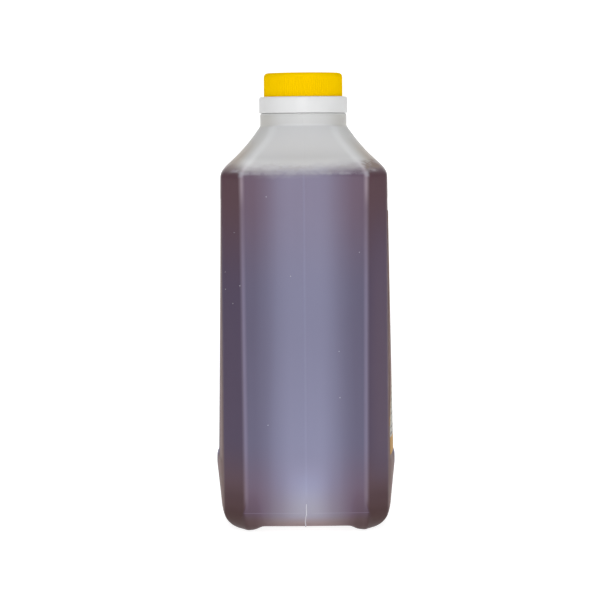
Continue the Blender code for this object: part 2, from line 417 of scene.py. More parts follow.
@dataclass(frozen=True)
class WallOverHoney:
    """The wall over the honey: painted shade where least milky, bluest with a painted highlight where most milky."""

    # Dark where least milky, on the chamfers: the honey's colour with painted shade
    dark_ends_painted_shade: Colour = (0.118, 0.063, 0.079)
    dark_waist_painted_shade: Colour = (0.093, 0.066, 0.118)
    # Painted light: the chamfers on the label's side are lit a little more
    label_side_painted_light: Colour = (0.122, 0.084, 0.132)
    # Reddish honey at the foot, darkened with painted shade
    dark_foot_painted_shade: Colour = (0.039, 0.007, 0.006)
    middling_ends: Colour = (0.15, 0.096, 0.15)
    middling_waist: Colour = (0.122, 0.108, 0.186)
    middling_foot: Colour = (0.15, 0.098, 0.105)
    # Where most milky, bluish with a painted highlight, and at the foot a painted reflection of the floor
    milky_painted_highlight: Colour = (0.385, 0.395, 0.585)
    milky_low_painted_highlight: Colour = (0.4, 0.38, 0.47)
    milky_foot_painted_reflection: Colour = (0.45, 0.35, 0.35)
    # Painted highlights on the ridges, lighter near the shoulder
    painted_ridge_highlight_waist: Colour = (0.275, 0.24, 0.35)
    painted_ridge_highlight_ends: Colour = (0.26, 0.195, 0.255)
    painted_ridge_highlight_top: Colour = (0.46, 0.37, 0.43)
    # Painted reflection on the outer parts of the wide faces, lighter further in
    painted_reflection_near: Colour = (0.2, 0.115, 0.105)
    painted_reflection_far: Colour = (0.3, 0.215, 0.205)
    above_foot: Fade = Fade(0.018, 0.05)
    below_shoulder: Fade = Fade(0.178, 0.12)
    to_label_side_painted_light: Fade = Fade(0.031, 0.039)
    to_dark_foot: Fade = Fade(0.03, 0.004)
    to_middling_foot: Fade = Fade(0.011, 0.005)
    to_milky_low: Fade = Fade(0.028, 0.01)
    to_milky_foot: Fade = Fade(0.009, 0.004)
    to_middling: Fade = Fade(0.0, 0.3)
    middling_haze: float = 0.24
    on_painted_ridge_highlight: Band = Band(-0.0008, 0.0007, 0.0013)
    painted_ridge_highlight_foot: Fade = Fade(0.0095, 0.02, 0.85)
    to_painted_ridge_highlight_top: Fade = Fade(0.166, 0.181)
    to_painted_reflection_far: Fade = Fade(0.052, 0.034)
    painted_reflection_edge: Fade = Fade(0.012, 0.034)

    def colour(self, wall: WallPlaces, haze_and_painted_light: Value, edge: Value) -> Value:
        """Lay the tints over each other.

        Args:
            wall: where a place lies.
            haze_and_painted_light: how milky it is there, with painted light and shade.
            edge: how far it is on a wide face.

        Returns:
            The colour over the honey.
        """
        graph, z = wall.graph, wall.z
        waist = self.above_foot.at(z) * self.below_shoulder.at(z)
        # Dark where least milky, on the chamfers: the honey's colour with painted shade
        thin = graph.layers(graph.blend(waist, self.dark_ends_painted_shade, self.dark_waist_painted_shade), (
            # Painted light: the chamfers on the label's side are lit a little more
            (self.to_label_side_painted_light.at(graph.x) * waist, self.label_side_painted_light),
            # Reddish honey at the foot, darkened with painted shade
            (self.to_dark_foot.at(z), self.dark_foot_painted_shade),
        ))
        middling = graph.blend(waist, self.middling_ends, self.middling_waist)
        middling = graph.blend(self.to_middling_foot.at(z), middling, self.middling_foot)
        # Where most milky, bluish with a painted highlight, and at the foot a painted reflection of the floor
        milky_painted_highlight = graph.blend(self.to_milky_low.at(z), self.milky_painted_highlight, self.milky_low_painted_highlight)
        milky_painted_highlight = graph.blend(self.to_milky_foot.at(z), milky_painted_highlight, self.milky_foot_painted_reflection)
        # A painted highlight along the ridges, lighter near the shoulder
        painted_ridge_highlight = graph.blend(waist, self.painted_ridge_highlight_ends, self.painted_ridge_highlight_waist)
        painted_ridge_highlight = graph.blend(self.to_painted_ridge_highlight_top.at(z), painted_ridge_highlight, self.painted_ridge_highlight_top)
        # Painted reflection on the outer parts of the wide faces, lighter further in
        painted_reflection = graph.blend(self.to_painted_reflection_far.at(wall.y), self.painted_reflection_near, self.painted_reflection_far)
        return graph.layers(thin, (
            (self.to_middling.at(haze_and_painted_light), middling),
            ((haze_and_painted_light - self.middling_haze) * (1.0 / (1.0 - self.middling_haze)), milky_painted_highlight),
            (self.on_painted_ridge_highlight.at(wall.outside) * self.painted_ridge_highlight_foot.at(z), painted_ridge_highlight),
            (edge * self.painted_reflection_edge.at(wall.y), painted_reflection),
        ))


@dataclass(frozen=True)
class HoneyRim:
    """The honey's uneven upper edge on the wall, with its stains and froth. Heights are above the honey's level."""

    stain: Colour = (0.2, 0.125, 0.095)
    froth: Colour = (0.55, 0.53, 0.59)
    wave_scale: float = 210.0
    wave: float = 0.0026
    climb_curve: float = 1.8
    climb_slope: float = 0.033
    climb_corner: Fade = Fade(0.03, 0.037, 0.0016)
    to_full: Fade = Fade(0.0058, -0.0036)
    near: Band = Band(-0.0005, 0.006, 0.0025)
    beside_ridge: Fade = Fade(-0.001, 0.003)
    stain_side: Fade = Fade(-0.04, 0.03)
    stain_line: Band = Band(-0.002, 0.0026, 0.0016)
    stain_spots: Fade = Fade(0.44, 0.6)
    stain_corner: Fade = Fade(0.03, 0.046, 0.75)
    speck_line: Band = Band(-0.001, 0.0045, 0.0016)
    speck_spots: Fade = Fade(0.52, 0.68, 0.14)
    froth_drop: float = 0.0013
    froth_scale: float = 150.0
    froth_line: Band = Band(-0.0011, 0.0002, 0.0007)
    froth_spots: Fade = Fade(0.36, 0.66, 0.44)
    froth_reach: Fade = Fade(0.008, 0.0045)
    knot_line: Band = Band(-0.0022, 0.0002, 0.0009)
    knot_width: Band = Band(-0.0006, 0.0014, 0.001)
    knot: float = 0.6

    def climb(self, graph: Graph) -> Value:
        """Return how far the honey has crept up the wall."""
        return graph.x * (graph.x * self.climb_curve + self.climb_slope) + self.climb_corner.at(graph.x * -1.0)

    def full(self, wall: WallPlaces) -> Value:
        """Return where honey stands behind the wall, 0 to 1."""
        wavy = wall.above + (wall.graph.noise(self.wave_scale, 3.0) - 0.5) * self.wave
        return self.to_full.at(wavy - self.climb(wall.graph))

    def marks(self, wall: WallPlaces, colour: Value) -> Value:
        """Lay the stains, specks and froth over a colour.

        Args:
            wall: where a place lies.
            colour: the wall's colour.

        Returns:
            The colour with its marks.
        """
        graph, above = wall.graph, wall.above
        mottle = graph.noise(420.0, 3.0)
        cloud = graph.noise(90.0, 2.0)
        side = self.beside_ridge.at(wall.outside)
        stained = side * self.stain_side.at(graph.x) * self.stain_line.at(above - self.climb(graph))
        stained = stained * self.stain_spots.at(mottle * 0.75 + cloud * 0.35)
        stained = stained * (self.stain_corner.at(wall.y) + (1.0 - self.stain_corner.strength))
        specks = self.speck_line.at(above) * self.speck_spots.at(mottle * 0.6 + cloud * 0.5)
        froth = self.froth_line.at(above - side * self.froth_drop) * self.froth_reach.at(wall.outside)
        froth = froth * self.froth_spots.at(graph.noise(self.froth_scale, 3.0) * 0.6 + mottle * 0.5)
        knot = self.knot_width.at(wall.outside) * self.knot_line.at(above) * self.knot
        return graph.layers(
            colour, ((stained, self.stain), (specks, self.stain), (froth, self.froth), (knot, self.froth))
        )


@dataclass(frozen=True)
class MilkyPlastic:
    """Natural blow-moulded plastic: grey over the air, and over the honey milky blue, with painted light and shade."""

    shape: "JugShape"
    level: float
    alpha_air: float = 0.84
    alpha_honey: float = 0.82
    alpha_rim: float = 0.16
    low_foot: Fade = Fade(0.02, 0.012)
    without_haze: Fade = Fade(0.12, 0.02)
    wide_edge: Fade = Fade(-0.0006, 0.0006)
    streak_haze: float = 0.1
    roughness: float = 0.39
    rough_drift: float = 0.1
    rough_wide: float = 0.3

    def build(self) -> bpy.types.Material:
        """Return the material."""
        wall = WallPlaces("milky_plastic", self.shape, self.level)
        graph, rim = wall.graph, HoneyRim()
        streaks = graph.noise(60.0, 3.0, graph.scaled_place((1.0, 1.0, 0.06)))
        # The milkiness carries painted light: highlights, shade and a reflection of the floor
        haze_and_painted_light = HazeAndPaintedLight().amount(wall) + (streaks - 0.5) * self.streak_haze
        edge = self.wide_edge.at(wall.past_corner)
        full = rim.full(wall)
        colour = graph.blend(full, WallOverAir().colour(wall), WallOverHoney().colour(wall, haze_and_painted_light, edge))
        alpha = full * (self.alpha_honey - self.alpha_air) + self.alpha_air + rim.near.at(wall.above) * self.alpha_rim
        foot = self.low_foot.at(wall.z) * self.without_haze.at(haze_and_painted_light)
        relief = streaks * 0.7 + graph.noise(260.0, 2.0) * 0.12
        return graph.finish({
            "Base Color": rim.marks(wall, colour),
            "Roughness": graph.noise(140.0, 4.0) * self.rough_drift + self.roughness + edge * self.rough_wide,
            "Alpha": alpha + foot * (1.0 - self.alpha_honey),
            "IOR": 1.5,
            "Specular IOR Level": 0.35,
            "Normal": graph.bump(relief, 0.18, 0.0005),
        })


@dataclass(frozen=True)
class DarkHoney:
    """Dark honey: nearly opaque in this depth, redder and lighter where it is thin."""

    deep: Colour = (0.04, 0.02, 0.02)
    thin: Colour = (0.09, 0.03, 0.014)
    thin_height: float = 0.012

    def build(self) -> bpy.types.Material:
        """Return the material."""
        graph = Graph("dark_honey")
        edge = graph.z.step(self.thin_height, 0.0)
        drift = graph.noise(18.0, 2.0)
        colour = graph.blend((edge * 0.8 + drift * 0.35).step(0.0, 1.2), self.deep, self.thin)
        return graph.finish({
            "Base Color": colour,
            "Roughness": graph.noise(60.0, 2.0) * 0.1 + 0.3,
            "IOR": 1.49,
            "Specular IOR Level": 0.15,
            "Normal": graph.bump(graph.noise(40.0, 1.0), 0.05, 0.0004),
        })


@dataclass(frozen=True)
class SatinPlastic:
    """Moulded plastic of nearly one colour, with a faint grain."""

    name: str
    colour: Colour
    shade: Colour
    roughness: float = 0.42
    gloss: float = 0.35

    def build(self) -> bpy.types.Material:
        """Return the material."""
        graph = Graph(self.name)
        drift = graph.noise(55.0, 3.0)
        grain = graph.noise(900.0, 2.0)
        return graph.finish({
            "Base Color": graph.blend(drift.step(0.35, 0.75), self.colour, self.shade),
            "Roughness": grain * 0.08 + drift * 0.08 + (self.roughness - 0.08),
            "Specular IOR Level": self.gloss,
            "Normal": graph.bump(grain, 0.12, 0.0002),
        })


YELLOW_CAP = SatinPlastic("yellow_cap", (0.98, 0.625, 0.0), (0.96, 0.605, 0.0), 0.5, 0.0)
WHITE_COLLAR = SatinPlastic("white_collar", (0.83, 0.83, 0.825), (0.805, 0.805, 0.8))


@dataclass(frozen=True)
class LabelPrint:
    """Coated paper printed with plain fields of colour and simple shapes."""

    low: float
    high: float
    field: Colour = (0.21, 0.125, 0.108)
    cell: Colour = (0.3, 0.165, 0.085)
    paper: Colour = (0.52, 0.51, 0.46)
    gold: Colour = (0.5, 0.27, 0.06)
    ink: Colour = (0.07, 0.045, 0.035)
    crisp: float = 0.0004
    disc_share: float = 0.66
    disc_radius: float = 0.024
    ring: Band = Band(0.0258, 0.0266, 0.0002)
    comb_pitch: float = 0.0065
    comb_drop: float = 0.02
    comb_strength: float = 0.8
    comb_line: Fade = Fade(-0.75, -1.05)
    drop_below: float = 0.005
    drop_radius: float = 0.0088
    drop_tip: Fade = Fade(0.019, 0.0, 0.0086)
    hill_rise: float = 0.003
    hill_radius: float = 0.043
    hill_rim: float = 0.0016
    gold_height: float = 0.0092
    rule_pitch: float = 0.0034
    rule_line: Fade = Fade(0.35, 0.55)
    rule_gaps: Fade = Fade(0.47, 0.51)
    rule_reach: Fade = Fade(-0.0012, -0.002)
    rule_foot: Fade = Fade(0.0, 0.002)

    def build(self) -> bpy.types.Material:
        """Return the material."""
        graph = Graph("label_print")
        middle = mix(self.low, self.high, self.disc_share)
        disc = self.distance(graph, middle)
        hill = self.distance(graph, self.low + self.hill_rise)
        above_gold = graph.z - (self.low + self.gold_height)
        comb = self.comb(graph) * graph.z.step(middle - self.comb_drop, self.high) * self.comb_strength
        colour = graph.layers(self.field, (
            (comb, self.cell),
            (self.inside(disc, self.disc_radius), self.gold),
            (self.ring.at(disc), self.gold),
            (self.drop(graph, middle - self.drop_below), self.paper),
            (self.inside(hill, self.hill_radius + self.hill_rim), self.gold),
            (self.inside(hill, self.hill_radius), self.paper),
            (self.rules(graph, hill - self.hill_radius, above_gold), self.ink),
            (above_gold.step(0.0003, -0.0003), self.gold),
        ))
        fibre = graph.noise(1500.0, 3.0)
        return graph.finish({
            "Base Color": colour,
            "Roughness": fibre * 0.12 + 0.55,
            "Specular IOR Level": 0.2,
            "Normal": graph.bump(fibre, 0.08, 0.0002),
        })

    def distance(self, graph: Graph, height: float) -> Value:
        """Return the distance on the label's plane from a point on its middle line."""
        place = graph.node("ShaderNodeCombineXYZ", {}, {"X": 0.0, "Y": graph.y, "Z": graph.z - height})
        return graph.node("ShaderNodeVectorMath", {"operation": "LENGTH"}, (place,), 1)

    def inside(self, distance: Value, radius: float) -> Value:
        """Return a disc with a crisp edge."""
        return distance.step(radius, radius - self.crisp)

    def comb(self, graph: Graph) -> Value:
        """Return the lines of a honeycomb, from three waves a third of a half-turn apart."""
        pitch = math.tau / self.comb_pitch
        waves = []
        for angle in (0.0, math.tau / 6.0, math.tau / 3.0):
            waves.append((graph.y * (pitch * math.cos(angle)) + graph.z * (pitch * math.sin(angle))).cos())
        return self.comb_line.at(waves[0] + waves[1] + waves[2])

    def drop(self, graph: Graph, height: float) -> Value:
        """Return a drop shape: a round belly at a height, which runs up to a point."""
        up = graph.z - height
        upper = (self.drop_tip.at(up) - abs(graph.y)).step(0.0, self.crisp) * up.step(-0.0001, 0.0001)
        return upper.larger(self.inside(self.distance(graph, height), self.drop_radius))

    def rules(self, graph: Graph, past_hill: Value, above_gold: Value) -> Value:
        """Draw broken dark rules inside the pale hill.

        Args:
            graph: the material's graph.
            past_hill: the distance outside the hill's edge.
            above_gold: the height above the gold band.

        Returns:
            The rules' mask.
        """
        rows = self.rule_line.at((graph.z * (math.tau / self.rule_pitch)).cos())
        gaps = self.rule_gaps.at(graph.noise(260.0, 1.0, graph.scaled_place((1.0, 1.0, 1.6))))
        return rows * gaps * self.rule_reach.at(past_hill) * self.rule_foot.at(above_gold)


@dataclass(frozen=True)
class PinchedPlastic:
    """The plastic of a pinched tail, greyer below its kink."""

    kink: float
    upper: Colour = (0.65, 0.64, 0.69)
    lower: Colour = (0.48, 0.45, 0.49)

    def build(self) -> bpy.types.Material:
        """Return the material."""
        graph = Graph("pinched_plastic")
        below = graph.z.step(self.kink + 0.001, self.kink - 0.0004)
        return graph.finish({
            "Base Color": graph.blend(below, self.upper, self.lower),
            "Roughness": graph.noise(700.0, 1.0) * 0.2 + 0.35,
        })


@dataclass(frozen=True)
class PaleSpeck:
    """Air trapped against the wall, seen as pale specks."""

    name: str
    colour: Colour
    dim: float = 0.7

    def build(self) -> bpy.types.Material:
        """Return the material."""
        graph = Graph(self.name)
        drift = graph.noise(700.0, 1.0)
        darker = tuple(part * self.dim for part in self.colour)
        return graph.finish({
            "Base Color": graph.blend(drift.step(0.3, 0.7), self.colour, darker),
            "Roughness": drift * 0.2 + 0.25,
        })


AIR_SPECK = PaleSpeck("air_speck", (0.5, 0.48, 0.54))
FOAM_SPECK = PaleSpeck("foam_speck", (0.5, 0.47, 0.5))


# Modelling helpers


def deselect_all() -> None:
    """Leave edit mode and deselect every object."""
    if bpy.context.mode != "OBJECT":
        bpy.ops.object.mode_set(mode="OBJECT")
    bpy.ops.object.select_all(action="DESELECT")


def activate(obj: bpy.types.Object) -> None:
    """Select one object alone and make it active."""
    deselect_all()
    obj.select_set(True)
    bpy.context.view_layer.objects.active = obj


@contextmanager
def edit_mode(obj: bpy.types.Object) -> Iterator[None]:
    """Work on one object alone in edit mode."""
    activate(obj)
    bpy.ops.object.mode_set(mode="EDIT")
    yield
    bpy.ops.object.mode_set(mode="OBJECT")


@contextmanager
def edit_mesh(obj: bpy.types.Object) -> Iterator[bmesh.types.BMesh]:
    """Reach into the mesh of an object in edit mode."""
    bm = bmesh.from_edit_mesh(obj.data)
    yield bm
    bmesh.update_edit_mesh(obj.data)


def select_parts(obj: bpy.types.Object, kind: str, test: Callable[..., bool]) -> None:
    """Select only the parts of a mesh that pass a test.

    Args:
        obj: the object, in edit mode.
        kind: "verts", "edges" or "faces".
        test: tells whether a part is selected.
    """
    bpy.ops.mesh.select_all(action="DESELECT")
    with edit_mesh(obj) as bm:
        for part in getattr(bm, kind):
            if test(part):
                part.select_set(True)


def flip_faces(obj: bpy.types.Object) -> None:
    """Turn every face over."""
    with edit_mode(obj):
        bpy.ops.mesh.select_all(action="SELECT")
        bpy.ops.mesh.flip_normals()


def new_object(name: str, data: bpy.types.ID) -> bpy.types.Object:
    """Put a new object into the scene."""
    obj = bpy.data.objects.new(name, data)
    bpy.context.scene.collection.objects.link(obj)
    return obj


def apply_modifier(obj: bpy.types.Object, kind: str, settings: dict) -> None:
    """Add a modifier, set it and apply it."""
    activate(obj)
    modifier = obj.modifiers.new(kind.lower(), kind)
    for key, value in settings.items():
        setattr(modifier, key, value)
    bpy.ops.object.modifier_apply(modifier=modifier.name)


def subdivide_smooth(obj: bpy.types.Object, levels: int) -> None:
    """Apply a Subdivision Surface."""
    apply_modifier(obj, "SUBSURF", {"levels": levels, "render_levels": levels})


def smooth(obj: bpy.types.Object, degrees: float = 40.0) -> None:
    """Shade smooth, but for edges sharper than an angle."""
    activate(obj)
    bpy.ops.object.shade_smooth_by_angle(angle=math.radians(degrees))


def tidy_surface(obj: bpy.types.Object, gap: float = NEAR) -> None:
    """Merge doubles and point the faces outwards."""
    with edit_mode(obj):
        bpy.ops.mesh.select_all(action="SELECT")
        bpy.ops.mesh.remove_doubles(threshold=gap)
        bpy.ops.mesh.normals_make_consistent(inside=False)


def set_out(
    obj: bpy.types.Object, node: str | None, material: bpy.types.Material, count: int = 0
) -> bpy.types.Object:
    """Dress a finished piece, let it ride on the body and stand for its node.

    Args:
        obj: the piece.
        node: the solid that it stands for, or None where it is an extra.
        material: its finish.
        count: how many copies the piece holds, for the log.

    Returns:
        The piece.
    """
    obj.data.materials.clear()
    obj.data.materials.append(material)
    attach(obj, BODY)
    if node:
        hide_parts(node)
    LOG.info("%s: %d faces%s", obj.name, len(obj.data.polygons), f", {count} copies" if count else "")
    return obj


class RingLoft:
    """A surface drawn by hand from one open edge: each ring is extruded from the last and set out to a plan."""

    def __init__(self, name: str, first: Ring) -> None:
        """Start with a circle that is set out to the first ring.

        Args:
            name: the piece's name.
            first: the first ring's points.
        """
        deselect_all()
        bpy.ops.mesh.primitive_circle_add(vertices=len(first), radius=0.01, fill_type="NOTHING")
        self.obj = bpy.context.object
        self.obj.name = name
        self.obj.data.name = name
        bpy.ops.object.mode_set(mode="EDIT")
        with edit_mesh(self.obj) as bm:
            layer = bm.verts.layers.int.new("place")
            for index, vert in enumerate(bm.verts):
                vert[layer] = index
        self._place(first)

    def _place(self, ring: Ring) -> None:
        """Set the selected ring out."""
        with edit_mesh(self.obj) as bm:
            layer = bm.verts.layers.int["place"]
            for vert in bm.verts:
                if vert.select:
                    vert.co = ring[vert[layer]]

    def draw(self, ring: Ring) -> None:
        """Extrude the open edge to one more ring."""
        bpy.ops.mesh.extrude_region_move(TRANSFORM_OT_translate={"value": (0.0, 0.0, 0.0)})
        self._place(ring)

    def close_at_centre(self) -> None:
        """Extrude the open edge and merge it to a point at its centre."""
        bpy.ops.mesh.extrude_region_move(TRANSFORM_OT_translate={"value": (0.0, 0.0, 0.0)})
        bpy.ops.mesh.merge(type="CENTER")

    def close_first(self, rows: int, height: Callable[[float], float]) -> None:
        """Close the first ring with strips along Y, each in several steps.

        Args:
            rows: how many steps a strip has.
            height: the closing surface's height at each x.
        """
        bm = bmesh.from_edit_mesh(self.obj.data)
        layer = bm.verts.layers.int["place"]
        lowest = {}
        for vert in bm.verts:
            kept = lowest.get(vert[layer])
            if kept is None or vert.index < kept.index:
                lowest[vert[layer]] = vert
        half = len(lowest) // 2
        chains = [[lowest[0]]]
        for i in range(1, half):
            near, far = lowest[i], lowest[2 * half - i]
            chain = [near]
            for step in range(1, rows):
                place = near.co.lerp(far.co, step / rows)
                place.z = height(place.x)
                chain.append(bm.verts.new(place))
            chains.append([*chain, far])
        chains.append([lowest[half]])
        for one, two in zip(chains, chains[1:]):
            for step in range(rows):
                corners = (one[min(step, len(one) - 1)], one[min(step + 1, len(one) - 1)])
                corners += (two[min(step + 1, len(two) - 1)], two[min(step, len(two) - 1)])
                bm.faces.new(list(dict.fromkeys(corners)))
        bmesh.update_edit_mesh(self.obj.data)

    def done(self) -> bpy.types.Object:
        """Leave edit mode, drop the helper layer and return the object."""
        bpy.ops.object.mode_set(mode="OBJECT")
        self.obj.data.attributes.remove(self.obj.data.attributes["place"])
        return self.obj


def round_ring(radius: float, z: float, count: int) -> Ring:
    """Return a level circle of points."""
    turn = math.tau / count
    return [(radius * math.cos(i * turn), radius * math.sin(i * turn), z) for i in range(count)]


def arc(centre: tuple[float, float], radius: float, first: float, last: float, steps: int) -> Plan:
    """Return points of an arc, angles in degrees."""
    points = []
    for i in range(steps + 1):
        angle = math.radians(mix(first, last, i / steps))
        points.append((centre[0] + radius * math.cos(angle), centre[1] + radius * math.sin(angle)))
    return points


def corner_arc(before: Sequence, corner: Sequence, after: Sequence, radius: float, steps: int) -> Plan:
    """Return the points that round a corner of a plan.

    Args:
        before: a point on the side that leads to the corner.
        corner: the sharp corner.
        after: a point on the side that leaves it.
        radius: the rounding.
        steps: how many segments the arc has.

    Returns:
        The arc's points in order.
    """
    corner = Vector(corner)
    one = (Vector(before) - corner).normalized()
    two = (Vector(after) - corner).normalized()
    half_angle = one.angle(two) / 2.0
    tangent = radius / math.tan(half_angle)
    start, end = corner + one * tangent, corner + two * tangent
    centre = corner + (one + two).normalized() * (radius / math.sin(half_angle))
    points = []
    for i in range(steps + 1):
        direction = (start - centre).lerp(end - centre, i / steps).normalized()
        points.append(tuple(centre + direction * radius))
    return points


# The jug


@dataclass(frozen=True)
class JugShape:
    """The jug's outer surface as level plans, and its heights."""

    panel_half: float = 0.032
    narrow_y: float = 0.066
    narrow_crown: float = 0.0013
    corner_x: float = 0.0431
    corner_y: float = 0.0552
    wide_top: float = 0.0445
    wide_belly: float = 0.04825
    wide_base: float = 0.0447
    corner_round: float = 0.004
    panel_round: float = 0.003
    round_loss: float = 0.6
    base_round: float = 0.01
    base_inset_wide: float = 0.012
    base_inset_narrow: float = 0.008
    base_slide: float = 0.12
    belly_z: float = 0.03
    body_top: float = 0.1836
    recess_low: float = 0.0338
    recess_high: float = 0.174
    recess_ramp: float = 0.0025
    recess_half: float = 0.049
    recess_side_ramp: float = 0.0015
    recess_deep: float = 0.00095
    recess_shallow: float = 0.0001
    channel_half: float = 0.0232
    channel_height: float = 0.0029
    foot_inner: float = 0.0298
    neck_z: float = 0.2105
    neck_radius: float = 0.0233
    bead_top: float = 0.2174
    shoulder_handle: float = 0.0068
    neck_handle: float = 0.0197
    neck_steepness: float = 31.4
    ridge_angle: float = 45.0
    corner_angle: float = 36.0
    seam_half: float = 0.0005
    seam_proud: float = 0.00009

    def wide_middle(self, z: float) -> float:
        """Half-width at the middle of the wide faces, proud of the recess."""
        if z < self.belly_z:
            return mix(self.wide_base, self.wide_belly, z / self.belly_z)
        return mix(self.wide_belly, self.wide_top, clamp((z - self.belly_z) / (self.body_top - self.belly_z)))

    def recess_depth(self, y: float, z: float) -> float:
        """Depth of the label recess at a place."""
        height = clamp((z - self.recess_low) / (self.recess_high - self.recess_low))
        depth = mix(self.recess_deep, self.recess_shallow, height)
        low = ease((z - self.recess_low) / self.recess_ramp)
        high = ease((self.recess_high - z) / self.recess_ramp)
        side = ease((self.recess_half + self.recess_side_ramp - abs(y)) / self.recess_side_ramp)
        return depth * min(low, high, side)

    def wide_surface(self, y: float, z: float) -> float:
        """X of the wide face at a place."""
        crown = (self.wide_middle(z) - self.corner_x) * (1.0 - (y / self.corner_y) ** 2)
        return self.corner_x + crown - self.recess_depth(y, z)

    def narrow_surface(self, x: float) -> float:
        """Y of the narrow face at a place, without the seam."""
        return self.narrow_y + self.narrow_crown * (1.0 - (x / self.panel_half) ** 2)

    def wide_steps(self) -> list[float]:
        """Places across half a wide face."""
        side = self.recess_half + self.recess_side_ramp
        even = [self.recess_half * i / 8 for i in range(9)]
        return [*even, mix(self.recess_half, side, 0.5), side]

    def narrow_steps(self) -> list[float]:
        """Places across half a narrow face, ending beside the seam."""
        return [0.0282, 0.0264, self.channel_half, 0.02, 0.016, 0.012, 0.008, 0.004, 0.0012, self.seam_half]

    def quarter(self, z: float, inset: float) -> Plan:
        """Points from the middle of a wide face to beside the seam of a narrow one.

        Args:
            z: the height.
            inset: 0 on the straight side, 1 at the feet.

        Returns:
            The quarter's points.
        """
        inset_x = self.base_inset_wide * inset
        inset_y = self.base_inset_narrow * inset
        corner = (self.corner_x - inset_x, self.corner_y - self.base_slide * inset_x)
        edge = (self.panel_half - self.base_slide * inset_x, self.narrow_y - inset_y)
        face = []
        for y in self.wide_steps():
            face.append((self.wide_surface(y, z) - inset_x, y * corner[1] / self.corner_y))
        narrow = []
        for x in self.narrow_steps():
            narrow.append((x * edge[0] / self.panel_half, self.narrow_surface(x) - inset_y))
        roundness = 1.0 - self.round_loss * inset
        one = corner_arc(face[-1], corner, edge, self.corner_round * roundness, 4)
        two = corner_arc(corner, edge, narrow[0], self.panel_round * roundness, 5)
        return [*face, *one, *two, *narrow]

    def neck_angles(self) -> list[float]:
        """Angles on the neck for each point of the quarter, in degrees."""
        wide, narrow = len(self.wide_steps()), len(self.narrow_steps())
        angles = [mix(0.0, self.corner_angle - 5.0, i / (wide - 1)) for i in range(wide)]
        angles += [mix(self.corner_angle - 3.0, self.corner_angle + 3.0, i / 4) for i in range(5)]
        angles += [mix(self.ridge_angle - 4.0, self.ridge_angle + 4.0, i / 5) for i in range(6)]
        for x in self.narrow_steps():
            angles.append(mix(90.0, self.ridge_angle + 4.0, x / self.narrow_steps()[0] * 0.93))
        return angles

    @staticmethod
    def whole(quarter: Plan, top: tuple[float, float]) -> Plan:
        """Mirror a quarter into the whole plan, counter-clockwise from +X."""
        upper = [*quarter, top]
        upper += [(-x, y) for x, y in reversed(quarter)]
        return upper + [(x, -y) for x, y in reversed(upper[1:-1])]

    def body_plan(self, z: float, inset: float = 0.0) -> Plan:
        """The whole plan of the body at one height."""
        top = self.narrow_y + self.narrow_crown - self.base_inset_narrow * inset + self.seam_proud
        return self.whole(self.quarter(z, inset), (0.0, top))

    def neck_plan(self, radius: float, seam: float = 0.0) -> Plan:
        """A circle whose points match the body's."""
        angles = [math.radians(angle) for angle in self.neck_angles()]
        return self.whole([(radius * math.cos(a), radius * math.sin(a)) for a in angles], (0.0, radius + seam))

    def floor(self, x: float) -> float:
        """Height of the underside: channel, slope and foot."""
        share = clamp((self.foot_inner - abs(x)) / (self.foot_inner - self.channel_half))
        seam = self.seam_proud * 2.0 * clamp(1.0 - abs(x) / self.seam_half)
        return self.channel_height * share * share - seam

    def base_rings(self) -> list[Ring]:
        """Rings of the rounded bottom edge."""
        rings = []
        for degrees in range(0, 90, 9):
            angle = math.radians(degrees)
            z = self.base_round * (1.0 - math.cos(angle))
            plan = self.body_plan(z, 1.0 - math.sin(angle))
            rings.append([(x, y, max(z, self.floor(x))) for x, y in plan])
        return rings

    def side_levels(self) -> list[float]:
        """Heights of the rings between the bottom edge and the shoulder."""
        levels = [self.base_round, 0.0125, 0.0155, 0.019, 0.023, 0.026, 0.0285, 0.0303, 0.032, 0.0332]
        levels += [self.recess_low + self.recess_ramp * i / 4 for i in range(5)]
        levels += [0.042 + 0.0105 * i for i in range(13)]
        levels += [self.recess_high - self.recess_ramp * (4 - i) / 4 for i in range(5)]
        return [*levels, 0.177, 0.1805, self.body_top]

    def side_rings(self) -> list[Ring]:
        """Rings of the body's side."""
        return [[(x, y, z) for x, y in self.body_plan(z)] for z in self.side_levels()]

    def shoulder_ring(self, s: float) -> Ring:
        """The ring a share of the way up the shoulder's curve."""
        body, neck = self.body_plan(self.body_top), self.neck_plan(self.neck_radius, self.seam_proud)
        share = 3 * (1 - s) * s * s * (1 - self.neck_steepness * self.neck_handle) + s**3
        z = (1 - s) ** 3 * self.body_top
        z += 3 * (1 - s) ** 2 * s * (self.body_top + self.shoulder_handle)
        z += 3 * (1 - s) * s * s * (self.neck_z - self.neck_handle) + s**3 * self.neck_z
        return [(mix(b[0], n[0], share), mix(b[1], n[1], share), z) for b, n in zip(body, neck)]

    def ring_near(self, z: float) -> Ring:
        """The shoulder's ring at about a height."""
        low, high = 0.0, 1.0
        for _ in range(24):
            middle = (low + high) / 2.0
            if self.shoulder_ring(middle)[0][2] < z:
                low = middle
            else:
                high = middle
        return self.shoulder_ring(low)


